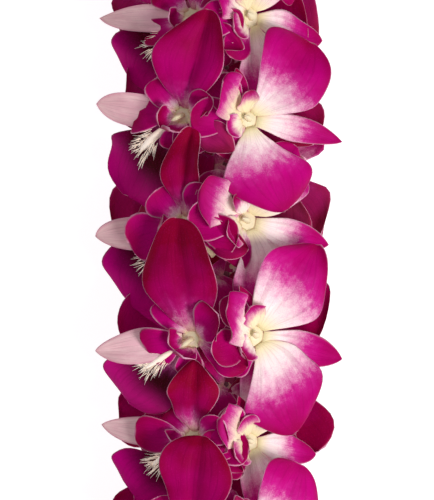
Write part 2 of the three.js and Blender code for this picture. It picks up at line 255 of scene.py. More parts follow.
class Build:
    """Gathers shells into one mesh, with a UV, a look, a margin and a material for each."""

    def __init__(self):
        self.points, self.uvs, self.looks, self.margins = [], [], [], []
        self.quads, self.triangles, self.quad_slots, self.triangle_slots = [], [], [], []
        self.count = 0

    def add(self, points, faces, slot, uv=None, look=(0, 0, 0, 0), margin=None, flip=False):
        """Adds a shell. Its faces are quads and triangles, and flip turns them round."""
        quads, triangles = faces
        size = len(points)
        self.points.append(points)
        self.uvs.append(np.zeros((size, 2)) if uv is None else uv)
        self.looks.append(np.broadcast_to(np.asarray(look, float), (size, 4)))
        self.margins.append(np.full(size, NO_RIM) if margin is None else margin)
        step = -1 if flip else 1
        self.quads.append(quads[:, ::step] + self.count)
        self.triangles.append(triangles[:, ::step] + self.count)
        self.quad_slots.append(np.full(len(quads), slot))
        self.triangle_slots.append(np.full(len(triangles), slot))
        self.count += size

    def finish(self, name, materials, replaced):
        """Makes the object, rides it on the lei and lets it stand for the CAD node."""
        points = np.vstack(self.points)
        quads = np.vstack(self.quads)
        triangles = np.vstack(self.triangles)
        loops = np.concatenate([quads.ravel(), triangles.ravel()]).astype(np.int32)
        totals = np.concatenate([np.full(len(quads), 4), np.full(len(triangles), 3)]).astype(np.int32)
        starts = np.concatenate([[0], np.cumsum(totals)[:-1]]).astype(np.int32)
        slots = np.concatenate(self.quad_slots + self.triangle_slots).astype(np.int32)
        mesh = bpy.data.meshes.new(name)
        mesh.vertices.add(len(points))
        mesh.vertices.foreach_set("co", points.ravel().astype(np.float32))
        mesh.loops.add(len(loops))
        mesh.loops.foreach_set("vertex_index", loops)
        mesh.polygons.add(len(totals))
        mesh.polygons.foreach_set("loop_start", starts)
        mesh.polygons.foreach_set("loop_total", totals)
        mesh.polygons.foreach_set("use_smooth", np.ones(len(totals), bool))
        for material in materials:
            mesh.materials.append(material)
        mesh.polygons.foreach_set("material_index", slots)
        mesh.update(calc_edges=True)
        uv = mesh.uv_layers.new(name="blade")
        uv.uv.foreach_set("vector", np.vstack(self.uvs)[loops].ravel().astype(np.float32))
        look = mesh.attributes.new("look", "FLOAT_COLOR", "POINT")
        look.data.foreach_set("color", np.vstack(self.looks).ravel().astype(np.float32))
        margin = mesh.attributes.new("margin", "FLOAT", "POINT")
        margin.data.foreach_set("value", np.concatenate(self.margins).astype(np.float32))
        mesh.validate()
        piece = bpy.data.objects.new(name, mesh)
        scene.collection.objects.link(piece)
        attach(piece, "root")
        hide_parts(replaced)
        return piece


def blade_frame(axes, blade):
    """The directions along and across a blade, and its lift and curl in radians. The curl divides the
    blade's arc, so it is never less than a degree."""
    n, d, w, _ = axes
    clock, lift, curl = (math.radians(a) for a in blade[:3])
    along = d * math.cos(clock) + w * math.sin(clock)
    across = -d * math.sin(clock) + w * math.cos(clock)
    return along, across, lift, curl if abs(blade[2]) >= 1 else math.radians(1)


def blade_surface(origin, axes, blade, outline, form, t, v):
    """A blade's middle surface and normal at t along it and v across it. The middle line is an arc whose
    angle off the bloom's face goes evenly from lift to lift + curl. Across it the blade is cupped by a
    parabola, creased along its middle by a narrow bell, twisted in proportion to t, crinkled by a product
    of sines and ruffled near its edges by sines of t. Each edge wanders in and out by its own sine, the
    blade leans, which makes one edge widest sooner than the other, as early does to both, and point
    narrows it towards its tip."""
    n = axes[0]
    along, across, a, k = blade_frame(axes, blade)
    length, half_width, sweep = blade[3:]
    angle = a + k * t
    reach = length * (np.sin(angle) - math.sin(a)) / k
    rise = length * (math.cos(a) - np.cos(angle)) / k
    phase = form["phase"]
    side = outline(np.clip(t, 0, 1) ** (form["early"] + form["lean"] * np.sign(v))) * half_width
    side = side * (1 + form["wander"] * np.sin(5.5 * t + phase + 2.1 * np.sign(v)) * smooth(0.15, 0.5, t))
    side = side * (1 - form["point"] * smooth(0.5, 1.0, t))
    normal = n * np.cos(angle)[..., None] - along * np.sin(angle)[..., None]
    end = smooth(0.0, 0.3, t)
    ruffle = np.abs(v) ** 3 * np.sin(phase + form["waves"] * 2 * np.pi * t + 1.7 * np.sign(v))
    crinkle = np.sin(9 * t + 2 * phase) * np.sin(3.2 * v + phase) + 0.5 * np.sin(17 * t - phase + 5 * v)
    height = (form["cup"] * side * (v * v - 0.3) * end
              - form["crease"] * np.exp(-(v * side / 0.9) ** 2) * end * smooth(1, 0.75, t)
              + form["ruffle"] * ruffle * smooth(0.2, 0.6, t)
              + form["twist"] * side * v * end * t
              + 0.3 * crinkle * end * np.minimum(side / 6, 1)
              + form["fold"] * side * np.abs(v) * end)
    skew = form["skew"] * length * t * (1 - t)
    middle = (origin + along * (ROOT_RADIUS + reach)[..., None] + n * rise[..., None]
              + across * (sweep * length * t * t + skew + side * v * (1 - 0.12 * form["fold"]))[..., None]
              + normal * height[..., None])
    return middle, normal, side


def add_blade(build, origin, axes, blade, outline, form, look, slot, rows, columns):
    """A blade as a closed sleeve: its upper side from v = -1 to 1 and back along its lower side, thick at
    the root, thin at the tip and running out to nothing at its edges."""
    s = np.linspace(0, 1, rows)
    t = np.minimum(1 - (1 - s) ** 1.35, TIP_STATION)
    top = np.sin(np.linspace(-1, 1, columns) * np.pi / 2 * EDGE_REACH) / math.sin(np.pi / 2 * EDGE_REACH)
    v = np.concatenate([top, top[-2:0:-1]])
    is_top = np.concatenate([np.ones(columns), -np.ones(columns - 2)])
    tt, vv = np.meshgrid(t, v, indexing="ij")
    middle, normal, side = blade_surface(origin, axes, blade, outline, form, tt, vv)
    half = (TIP_HALF + ROOT_EXTRA * (1 - smooth(0, 0.35, tt))) * np.sqrt(np.clip(1 - vv ** 4, 0, 1)) * is_top
    up = np.where(half * axes[0][2] > 0, UPPER_CLEAR, LOWER_CLEAR)
    points = place(middle + normal * half[..., None], up)
    ends = [points[0].mean(0), points[-1].mean(0)]
    margin = np.minimum((1 - np.abs(vv)) * side, (1 - tt) * blade[3] * 0.8) * form["margin"]
    uv = np.stack([tt, (vv + 1) / 2], axis=-1).reshape(-1, 2)
    uv = np.vstack([uv, [0, 0.5], [1, 0.5]])
    margin = np.concatenate([margin.ravel(), [1, 0]])
    upper, lower = np.asarray(look[0], float), np.asarray(look[1], float)
    share = (is_top + 1) / 2
    share[[0, columns - 1]] = 0.5
    looks = lower + (upper - lower) * share[None, :, None] * np.ones((rows, 1, 1))
    looks = np.vstack([looks.reshape(-1, 4), lower, lower])
    build.add(np.vstack([points.reshape(-1, 3), ends]), shell_faces(rows, len(v)), slot, uv, looks, margin,
              flip=not axes[3])


def add_tube(build, path, radii, slot, ring=10, look=(0, 0, 0, 0), flatten=1.0):
    """A sleeve of round rings carried along a path given in strand space, on axes that are square to it."""
    path = np.asarray(path, float)
    tangent = np.gradient(path, axis=0)
    tangent /= np.linalg.norm(tangent, axis=1, keepdims=True)
    guide = np.where(np.abs(tangent[:, 1:2]) < 0.8, [[0.0, 1.0, 0.0]], [[1.0, 0.0, 0.0]])
    side = np.cross(tangent, guide)
    side /= np.linalg.norm(side, axis=1, keepdims=True)
    other = np.cross(tangent, side)
    angle = np.linspace(0, 2 * np.pi, ring, endpoint=False)
    radii = np.asarray(radii, float)[:, None, None]
    rings = path[:, None] + radii * (side[:, None] * np.cos(angle)[None, :, None]
                                     + flatten * other[:, None] * np.sin(angle)[None, :, None])
    points = place(np.vstack([rings.reshape(-1, 3), path[:1], path[-1:]]))
    along = np.repeat(np.linspace(0, 1, len(path)), ring)
    around = np.tile(angle / (2 * np.pi), len(path))
    uv = np.stack([np.concatenate([along, [0, 1]]), np.concatenate([around, [0, 0]])], axis=-1)
    build.add(points, shell_faces(len(path), ring), slot, uv, look)


# One bloom

PETAL, LIP, COLUMN, STALK, CALLUS = range(5)    # the material slots of a bloom's piece

# How a blade is shaped: cup raises its edges by a share of its half width, crease sinks its midrib and
# ruffle waves its edges in mm, fold lifts both halves off the midrib, skew bows its middle line sideways,
# waves is how many ruffles an edge has, twist turns its tip, wander is how far each edge strays from the
# outline and lean how unlike its two edges are. margin scales the distance from the edge that its pale
# rim, partly painted highlight, is painted by. form_of adds phase, which shifts the waves, early and point.
FORMS = dict(
    petal=dict(cup=-0.14, crease=0.35, ruffle=2.1, fold=0.22, skew=0.07, waves=1.3, twist=0.25, wander=0.1,
               lean=0.22, margin=0.9),
    sepal=dict(cup=0.1, crease=0.3, ruffle=0.5, fold=0.22, skew=0.1, waves=1.0, twist=0.5, wander=0.06,
               lean=0.15, margin=1.0),
    lip=dict(cup=0.02, crease=0.5, ruffle=1.5, fold=0.0, skew=0.05, waves=2.2, twist=0.15, wander=0.1,
             lean=0.2, margin=2.5),
    flap=dict(cup=0.3, crease=0.1, ruffle=0.8, fold=0.0, skew=0.15, waves=1.6, twist=0.6, wander=0.1,
              lean=0.3, margin=0.6),
)

# What is added to the forms of the left row's petals, and their length and half width as shares of the
# part's, because they are folded along the middle and look narrower.
LEFT_FOLD = dict(fold=0.22, crease=0.5, point=0.12)
LEFT_LENGTH, LEFT_WIDTH = 0.95, 0.88

# How a blade is coloured, for its upper and its lower side: how crimson it is, which is partly its own hue
# and partly painted shade, how violet, how pale, and how far along it the white of its claw reaches. The lit
# looks are painted light and the shaded looks painted shade.
LOOKS = dict(
    lit=((0.15, 0.0, 0.0, 0.40), (0.4, 0.1, 0.1, 0.34)),
    lit_sepal=((0.15, 0.0, 0.0, 0.42), (0.2, 0.0, 0.55, 0.5)),
    crimson_and_shade=((0.95, 0.0, 0.0, 0.04), (0.75, 0.1, 0.1, 0.16)),
    rosy=((0.45, 0.1, 0.02, 0.14), (0.5, 0.0, 0.25, 0.3)),
    pale_sepal=((0.2, 0.0, 0.9, 0.25), (0.3, 0.0, 0.9, 0.3)),
    dark_sepal=((0.8, 0.1, 0.0, 0.08), (0.5, 0.0, 0.6, 0.3)),
    shaded=((0.5, 0.1, 0.0, 0.34), (0.75, 0.1, 0.03, 0.26)),
    shaded_sepal=((0.4, 0.1, 0.1, 0.34), (0.5, 0.0, 0.35, 0.35)),
    left_lip=((0.9, 0.7, 0.0, 0.10), (0.6, 0.6, 0.2, 0.2)),
    right_lip=((0.1, 0.0, 0.0, 0.62), (0.1, 0.0, 0.3, 0.6)),
    back_lip=((0.6, 0.4, 0.0, 0.2), (0.6, 0.3, 0.1, 0.2)),
    left_flap=((0.35, 0.1, 0.0, 0.2), (0.45, 0.1, 0.15, 0.24)),
    cream_flap=((0.3, 0.0, 0.0, 0.62), (0.4, 0.0, 0.3, 0.55)),
    collar=((0.2, 0.05, 0.0, 0.2), (0.35, 0.0, 0.2, 0.3)),
)

# The two side flaps of a lip in each row: clock off the lip's own, lift, curl, length and half width.
FLAPS = dict(frontRight=(44, 58, -46, 9.5, 4.6), frontLeft=(40, 50, 40, 8.5, 4.0),
             back=(40, 72, 40, 8.5, 4.0))

# Where the dark petals lie that back the gap between the two rows, as painted shade there: across the
# strand and along it. The lower nodes have the first few.
BACKING = ((-1.5, -13), (1.5, -10), (1.5, -4), (-1.5, 0), (6.5, -2), (6.5, 7), (1.5, 10), (-1.5, 13))
LOWER_BACKING = 4
BACKING_MARGIN = 5.0       # the margin scale that keeps their rims too thin to see

# The curled petals round the middle of a bloom in each row: clock, lift, length and half width.
COLLARS = dict(
    frontLeft=((6, 48, 13, 5.6), (-26, 14, 14.5, 6), (112, 34, 12.5, 5.5), (168, 38, 15, 6.2),
               (232, 8, 10, 4.5)),
    frontRight=((150, 34, 16.5, 6.2), (200, 24, 17, 6.4), (250, 14, 13, 5.4)),
)

# Which look each blade of a bloom has in each row.
STYLES = dict(
    frontRight=dict(dorsal="lit_sepal", petalUp="lit", lateralUp="rosy", lip="right_lip",
                    lateralDown="rosy", petalDown="lit", flap="right_lip"),
    frontLeft=dict(dorsal="rosy", petalUp="crimson_and_shade", lateralUp="pale_sepal", lip="left_lip",
                   lateralDown="dark_sepal", petalDown="rosy", flap="left_flap"),
    back=dict(dorsal="shaded_sepal", petalUp="shaded", lateralUp="shaded_sepal", lip="back_lip",
              lateralDown="shaded_sepal", petalDown="shaded", flap="left_flap"),
)

# Rows and columns of a blade's mesh, in the front rows and at the back.
WIDE_BLADE = 5.5           # half width past which a blade gets the wide grid
FRONT_GRIDS = dict(wide=(24, 17), narrow=(18, 9), flap=(12, 9))
BACK_GRIDS = dict(wide=(14, 11), narrow=(10, 7), flap=(7, 5))
CURL_GRID = (11, 9)
BACKING_GRID = (9, 7)

CURLS = 3                  # curled petals at the thread for each pair of blooms
PIERCED_APART = 1.3        # half of how far apart on the thread a pair's two stalks are pierced

# The fringe and callus of a left lip.
HAIRS = 90
HAIR_RADIUS = 0.17         # at a hair's root
HAIR_LENGTHS = (2.2, 4.6)  # of the shortest hair and the longest
HAIR_ARCS = (0.5, 1.4)     # how strongly the flattest hair arcs up and the steepest
FRINGE_HALF = 0.42         # half the fringe's width, as a share of the lip's half width
FRINGE_START, FRINGE_LENGTH = 0.24, 0.26    # where it stands along the lip, as shares of the lip's length
CALLUS_RADIUS = 1.9
THROAT_TURN, THROAT_RISE = -9, 4            # of both off the lip's own blade, in degrees

# A bloom's middle, column and stalk.
MIDDLE_RADIUS, MIDDLE_DOME = 3.3, 0.9       # the middle's radius and half its thickness
MIDDLE_SUNK = 0.5                           # how far it is behind the blades' roots
COLUMN_HEIGHT, COLUMN_LEAN, COLUMN_RADIUS = 3.6, 3.2, 1.1
STALK_RADIUS = 1.25
STALK_SWELL, STALK_TAPER = 1.6, 0.5         # what its radius gains behind the bloom and loses at its end
STALK_BACK, STALK_INTO = 5, 4               # its curve's handles, at the bloom and at the thread
STALK_BEYOND = 3.4                          # how far it sticks out past the thread


def family(kind):
    """The row that a kind of bloom is in."""
    return "back" if kind.startswith("back") else kind[:-5]


def form_of(sort, chance):
    """A blade's form with its own phase, and its amounts varied by chance."""
    form = dict(FORMS[sort])
    form["phase"] = chance.uniform(0, 2 * math.pi)
    form["cup"] += chance.uniform(-0.07, 0.07)
    form["ruffle"] *= chance.uniform(0.7, 1.3)
    form["fold"] *= chance.uniform(0, 1.5)
    form["skew"] *= chance.uniform(-1, 1)
    form["twist"] *= chance.uniform(-1, 1)
    form["lean"] *= chance.uniform(-1, 1)
    form["early"] = chance.uniform(0.7, 1.05) if sort == "petal" else 1.0
    form["point"] = chance.uniform(0.0, 0.55) if sort == "petal" else 0.0
    return form


def look_of(style, chance):
    """Both sides' looks, shifted together a little by chance."""
    shift = np.array([chance.uniform(-0.35, 0.15), chance.uniform(-0.06, 0.06), chance.uniform(-0.06, 0.01),
                      chance.uniform(-0.07, 0.05)])
    return [np.clip(np.add(side, shift), 0, 1) for side in LOOKS[style]]


def add_hairs(build, origin, axes, blade, outline, form, chance, count):
    """The fringe of a lip: tapered three-sided hairs that lean forwards off the callus and fan out, each
    a parabola in the plane of the blade's own direction and its normal."""
    t0 = chance.uniform(FRINGE_START, FRINGE_START + FRINGE_LENGTH, count)
    v0 = chance.uniform(-FRINGE_HALF, FRINGE_HALF, count) * (1 - 0.5 * (t0 - FRINGE_START) / FRINGE_LENGTH)
    root, normal, _ = blade_surface(origin, axes, blade, outline, form, t0, v0)
    ahead, _, _ = blade_surface(origin, axes, blade, outline, form, t0 + 0.02, v0)
    forward = ahead - root
    forward /= np.linalg.norm(forward, axis=1, keepdims=True)
    across = blade_frame(axes, blade)[1]
    fan = (v0 * 1.6 + chance.uniform(-0.3, 0.3, count))[:, None]
    way = forward + across * fan
    way /= np.linalg.norm(way, axis=1, keepdims=True)
    length = chance.uniform(*HAIR_LENGTHS, count)[:, None, None]
    stations, sides = 4, 3
    s = np.linspace(0, 1, stations)[None, :, None]
    rise = chance.uniform(*HAIR_ARCS, count)[:, None, None]
    line = (root + normal * 0.9)[:, None] + way[:, None] * length * s + normal[:, None] * rise * s * (1.3 - s)
    radius = (HAIR_RADIUS * (1 - 0.75 * s))[..., None]
    angle = np.arange(sides) * 2 * np.pi / sides
    ring = across * np.cos(angle)[:, None] + normal[:, None, None] * np.sin(angle)[None, None, :, None]
    rings = line[:, :, None] + radius * ring
    points = np.concatenate([rings.reshape(count, -1, 3), line[:, :1], line[:, -1:]], axis=1)
    quads, triangles = shell_faces(stations, sides)
    first = np.arange(count)[:, None, None] * points.shape[1]
    faces = (quads + first).reshape(-1, 4), (triangles + first).reshape(-1, 3)
    along = np.tile(np.concatenate([np.repeat(np.linspace(0, 1, stations), sides), [0, 1]]), count)
    uv = np.stack([along, np.ones_like(along)], axis=-1)
    build.add(place(points.reshape(-1, 3), 0.1), faces, CALLUS, uv, flip=not axes[3])


def add_callus(build, origin, axes, blade, outline, form):
    """The cream ridge down a lip's throat: a flattened sleeve laid along the blade's middle line."""
    s = np.linspace(-1, 1, 9)
    t = np.linspace(0.1, 0.5, len(s))
    middle, normal, _ = blade_surface(origin, axes, blade, outline, form, t, np.zeros(len(s)))
    radii = CALLUS_RADIUS * np.sqrt(np.clip(1 - s ** 2, 0.02, 1)) * (1 - 0.25 * s)
    add_tube(build, middle + normal * 0.7, radii, CALLUS, 10, flatten=0.6)


def add_middle(build, origin, axes, lip_clock):
    """A bloom's middle, a flattened ball that closes the hole between the blades' roots, and its column, a
    finger with a hood of a bell's outline that leans towards the lip by a parabola."""
    n, d, w, _ = axes
    turn = np.linspace(-1, 1, 9) * 0.97 * np.pi / 2
    heights = MIDDLE_DOME * np.sin(turn) - MIDDLE_SUNK
    add_tube(build, origin + n * heights[:, None], MIDDLE_RADIUS * np.cos(turn), COLUMN, 16)
    clock = math.radians(lip_clock)
    towards_lip = d * math.cos(clock) + w * math.sin(clock)
    s = np.sin(np.linspace(0, np.pi / 2, 13))
    path = origin + n * (0.2 + COLUMN_HEIGHT * s)[:, None] + towards_lip * (COLUMN_LEAN * s ** 2)[:, None]
    hood = COLUMN_RADIUS - 0.2 * s + 0.25 * np.exp(-((s - 0.75) / 0.15) ** 2)
    add_tube(build, path, hood * np.sqrt(1 - np.clip((s - 0.7) / 0.3001, 0, 1) ** 2), COLUMN, 12, flatten=0.8)


def add_collar(build, origin, axes, collar, style, chance):
    """The curled petals that stand round a bloom's middle, one for each clock, lift, length and half width
    in the collar. Each turns over towards its tip."""
    for clock, lift, length, half_width in collar:
        blade = (clock + chance.uniform(-14, 14), lift + chance.uniform(-8, 10), -chance.uniform(30, 75),
                 length * chance.uniform(0.85, 1.15), half_width * chance.uniform(0.85, 1.15), 0)
        add_blade(build, origin, axes, blade, petal_width, form_of("flap", chance), look_of(style, chance),
                  PETAL, *FRONT_GRIDS["flap"])


def add_stalk(build, origin, axes, y):
    """A stalk: a cubic curve from behind the bloom's middle through the thread and out beyond it, thick
    behind the bloom and thin at the thread."""
    thread = np.array([0.0, y, 0.0])
    back = origin - axes[0] * 0.8
    out = unit(origin - thread)
    far = thread - out * STALK_BEYOND
    controls = [back, back - axes[0] * STALK_BACK, thread + out * STALK_INTO, far]
    s = np.linspace(0, 1, 12)[:, None]
    path = ((1 - s) ** 3 * controls[0] + 3 * (1 - s) ** 2 * s * controls[1]
            + 3 * (1 - s) * s ** 2 * controls[2] + s ** 3 * controls[3])
    radii = (STALK_RADIUS + STALK_SWELL * (1 - smooth(0, 0.5, s[:, 0]))
             - STALK_TAPER * smooth(0.92, 1, s[:, 0]))
    add_tube(build, path, radii, STALK, 10)


def chanced(blade, draw, chance):
    """A blade with its clock, lift and length changed a little by chance, as in the part, and again by
    more of the same with its curl and width."""
    clock, lift, curl, length, half_width, sweep = blade
    clock += CLOCK_SPREAD * draw() + chance.uniform(-6, 6)
    lift += LIFT_SPREAD * draw() + chance.uniform(-3, 3)
    length *= (1 + LENGTH_SPREAD * draw()) * chance.uniform(0.95, 1.07)
    curl += chance.uniform(-12, 6)
    return clock, lift, curl, length, half_width * chance.uniform(0.93, 1.13), sweep


def add_bloom(build, kind, y, stalk_y, draw, chance):
    """One bloom: six blades, its middle and column, its lip's side flaps and fringe, and its stalk."""
    bloom = BLOOMS[kind]
    axes = axes_of(bloom)
    origin = np.array(bloom["centre"], float) + (0, y, 0)
    style = STYLES[family(kind)]
    front = not kind.startswith("back")
    left = kind.startswith("frontLeft")
    grids = FRONT_GRIDS if front else BACK_GRIDS
    for name in SIDES:
        blade = chanced(bloom["blades"][name], draw, chance)
        sort = "petal" if name.startswith("petal") else "lip" if name == "lip" else "sepal"
        form = form_of(sort, chance)
        if sort == "petal" and left:
            for amount, more in LEFT_FOLD.items():
                form[amount] += more
            blade = (*blade[:3], LEFT_LENGTH * blade[3], LEFT_WIDTH * blade[4], blade[5])
        grid = grids["wide" if blade[4] > WIDE_BLADE else "narrow"]
        slot = LIP if style[name] == "left_lip" else PETAL
        add_blade(build, origin, axes, blade, WIDTHS[name], form, look_of(style[name], chance), slot, *grid)
        if name != "lip":
            continue
        spread, *rest = FLAPS[family(kind)]
        for side in (-1, 1):
            flap = (blade[0] + side * spread, *rest, 0)
            add_blade(build, origin, axes, flap, petal_width, form_of("flap", chance),
                      look_of(style["flap"], chance), PETAL, *grids["flap"])
        if left:
            throat = (blade[0] + THROAT_TURN, blade[1] + THROAT_RISE, *blade[2:])
            add_callus(build, origin, axes, throat, WIDTHS[name], form)
            add_hairs(build, origin, axes, throat, WIDTHS[name], form, chance, HAIRS)
        lip_clock = blade[0]
    if front:
        add_collar(build, origin, axes, COLLARS[family(kind)], "collar", chance)
    add_middle(build, origin, axes, lip_clock)
    add_stalk(build, origin, axes, stalk_y)


def add_inner_petal(build, y, up, draw, chance):
    """The small petal that grows off each knuckle and is bent over along the thread."""
    n, d, w = np.array([[0.0, 0, up], [0, -up, 0], [1, 0, 0]])
    origin = np.array([0.0, y, 0]) + n * KNUCKLE_RADIUS / 2 - d * ROOT_RADIUS
    add_blade(build, origin, (n, d, w, False), chanced(INNER_PETAL, draw, chance), petal_width,
              form_of("flap", chance), look_of("left_flap", chance), PETAL, *FRONT_GRIDS["flap"])


def add_curls(build, y, up, chance):
    """Small curled petals that stand round the thread, in the gap between the two rows: each is a blade
    whose root is at a random place round the strand's middle and whose direction is random."""
    for _ in range(CURLS):
        turn = chance.uniform(0, 2 * math.pi)
        n = unit((chance.uniform(-0.35, 0.35), chance.uniform(-0.3, 0.3), up))
        d = unit(np.cross(n, (math.cos(turn), math.sin(turn), 0)))
        origin = np.array([chance.uniform(-3.5, 3.5), y + chance.uniform(-13, 13), up * chance.uniform(2, 5)])
        blade = (0, chance.uniform(35, 75), chance.uniform(-110, -50), chance.uniform(9, 12),
                 chance.uniform(3.6, 5.2), 0)
        style = "cream_flap" if chance.uniform() < 0.3 else "left_flap"
        add_blade(build, origin, (n, d, np.cross(n, d), False), blade, petal_width, form_of("flap", chance),
                  look_of(style, chance), PETAL, *CURL_GRID)


def add_backing(build, y, up, chance):
    """Dark petals without a rim that lie along the thread, under the gap between the two rows, and close it
    to the eye: painted shade in the gap."""
    for x, ahead in BACKING if up > 0 else BACKING[:LOWER_BACKING]:
        side = math.copysign(1, x)
        n = unit((0.35 * side, 0, up))
        d = unit(np.cross(n, (side, -0.4 * np.sign(ahead), 0)))
        origin = np.array([x, y + ahead - 9 * d[1], up * chance.uniform(1.5, 3)])
        blade = (0, chance.uniform(0, 14), chance.uniform(-16, 0), 19, chance.uniform(6, 7.5), 0)
        form = form_of("petal", chance)
        form["margin"] = BACKING_MARGIN
        add_blade(build, origin, (n, d, np.cross(n, d), False), blade, petal_width, form,
                  look_of("crimson_and_shade", chance), PETAL, *BACKING_GRID)


def make_pair(name, kinds, y, seed, materials):
    """Two blooms pierced one behind the other on the thread, with the small petals round it there, as one
    piece for their CAD node."""
    build = Build()
    draw = series(seed)
    chance = np.random.default_rng(seed)
    for kind, behind in zip(kinds, (-PIERCED_APART, PIERCED_APART)):
        add_bloom(build, kind, y, y + behind, draw, chance)
    up = 1 if "upper" in name else -1
    add_inner_petal(build, y, -up, draw, chance)
    add_curls(build, y, up, chance)
    add_backing(build, y, up, chance)
    piece = build.finish(name.replace("blooms", "orchids"), materials, name)
    return piece


# The materials

# Noise scales are in waves per metre, because the patterns read Object coordinates.

def rgb(code):
    """A display colour such as 'c0007e' as linear red, green, blue and 1."""
    parts = np.array([int(code[i:i + 2], 16) for i in (0, 2, 4)]) / 255
    linear = np.where(parts <= 0.04045, parts / 12.92, ((parts + 0.055) / 1.055) ** 2.4)
    return (*linear, 1.0)


class Graph:
    """Short names for making and linking the nodes of a material or a group."""

    def __init__(self, tree):
        self.tree = tree

    def node(self, kind, settings=None, **inputs):
        """A node with its settings, and its inputs given by name with _ for a space."""
        made = self.tree.nodes.new(kind)
        for key, value in (settings or {}).items():
            setattr(made, key, value)
        for key, value in inputs.items():
            self.put(made.inputs[key.replace("_", " ")], value)
        return made

    def put(self, socket, value):
        """Links another node's output to a socket, or sets the socket's value."""
        if isinstance(value, bpy.types.NodeSocket):
            self.tree.links.new(value, socket)
        else:
            socket.default_value = value

    def math(self, operation, *values):
        """The result of one Math operation."""
        made = self.tree.nodes.new("ShaderNodeMath")
        made.operation = operation
        for socket, value in zip(made.inputs, values):
            self.put(socket, value)
        return made.outputs[0]

    # Sums, differences and products of sockets or numbers.
    def plus(self, first, second):
        return self.math("ADD", first, second)

    def minus(self, first, second):
        return self.math("SUBTRACT", first, second)

    def times(self, first, second):
        return self.math("MULTIPLY", first, second)

    def step(self, low, high, value):
        """0 below low, 1 above high, smooth between."""
        made = self.tree.nodes.new("ShaderNodeMapRange")
        made.interpolation_type = "SMOOTHSTEP"
        for name, given in (("Value", value), ("From Min", low), ("From Max", high)):
            self.put(made.inputs[name], given)
        return made.outputs["Result"]

    def mix(self, factor, first, second):
        """The first colour at factor 0 and the second at 1."""
        made = self.tree.nodes.new("ShaderNodeMix")
        made.data_type = "RGBA"
        for index, given in ((0, factor), (6, first), (7, second)):
            self.put(made.inputs[index], given)
        return made.outputs[2]

    def clamp(self, value):
        return self.node("ShaderNodeClamp", Value=value).outputs[0]

    def split(self, vector):
        """A vector's X and Y."""
        return self.node("ShaderNodeSeparateXYZ", Vector=vector).outputs[:2]

    def blade_uv(self):
        """The piece's own UV, along a blade and across it."""
        return self.node("ShaderNodeUVMap", {"uv_map": "blade"}).outputs[0]

    def bump(self, shader, strength, height):
        """Raises the shader's surface by the height, in tenths of a millimetre."""
        made = self.node("ShaderNodeBump", Strength=strength, Distance=0.0001, Height=height)
        self.put(shader.inputs["Normal"], made.outputs[0])

    def noise(self, vector, scale, detail=2.0):
        """Fractal noise between 0 and 1."""
        made = self.node("ShaderNodeTexNoise", Vector=vector, Scale=scale, Detail=detail)
        return made.outputs["Factor"] if "Factor" in made.outputs else made.outputs["Fac"]


def new_group(name, inputs, outputs):
    """A shader node group with the named sockets, and the nodes at its two ends."""
    tree = bpy.data.node_groups.new(name, "ShaderNodeTree")
    for label, kind in inputs:
        tree.interface.new_socket(label, in_out="INPUT", socket_type=kind)
    for label, kind in outputs:
        tree.interface.new_socket(label, in_out="OUTPUT", socket_type=kind)
    return Graph(tree), tree.nodes.new("NodeGroupInput"), tree.nodes.new("NodeGroupOutput")


def make_veins():
    """Lengthwise veins: noise that is narrow across the blade and long along it, over two widths."""
    inputs = [("Blade", "NodeSocketVector"), ("Count", "NodeSocketFloat")]
    outputs = [("Streak", "NodeSocketFloat"), ("Vein", "NodeSocketFloat")]
    g, given, result = new_group("lengthwise veins", inputs, outputs)
    x, y = g.split(given.outputs["Blade"])
    place_noise = g.noise(g.node("ShaderNodeTexCoord").outputs["Object"], 90.0)
    across = g.times(y, given.outputs["Count"])
    along = g.times(x, 1.6)
    shift = g.times(place_noise, 6.0)
    broad = g.node("ShaderNodeCombineXYZ", X=across, Y=along, Z=shift)
    fine = g.node("ShaderNodeCombineXYZ", X=g.times(across, 2.6), Y=along, Z=2.0)
    g.put(result.inputs["Streak"], g.noise(broad.outputs[0], 1.0, 3.0))
    g.put(result.inputs["Vein"], g.step(0.5, 0.68, g.noise(fine.outputs[0], 1.0, 1.0)))
    return g.tree


def make_velvet():
    """The velvet of a petal's tiny cells: a fine sparkle, blotches, a cloud of broad patches, a height."""
    outputs = [(label, "NodeSocketFloat") for label in ("Sparkle", "Blotch", "Cloud", "Height")]
    g, _, result = new_group("petal velvet", [], outputs)
    here = g.node("ShaderNodeTexCoord").outputs["Object"]
    sparkle = g.noise(here, 2600.0, 1.0)
    g.put(result.inputs["Sparkle"], sparkle)
    g.put(result.inputs["Blotch"], g.noise(here, 430.0, 3.0))
    g.put(result.inputs["Cloud"], g.noise(here, 110.0, 2.0))
    g.put(result.inputs["Height"], g.plus(sparkle, g.times(g.noise(here, 700.0, 1.0), 0.8)))
    return g.tree


def new_material(name, **values):
    """A material, its graph and its shader, with the shader's values given by name with _ for a space."""
    material = bpy.data.materials.new(name)
    material.use_nodes = True
    g = Graph(material.node_tree)
    shader = material.node_tree.nodes["Principled BSDF"]
    for key, value in values.items():
        g.put(shader.inputs[key.replace("_", " ")], value)
    return material, g, shader


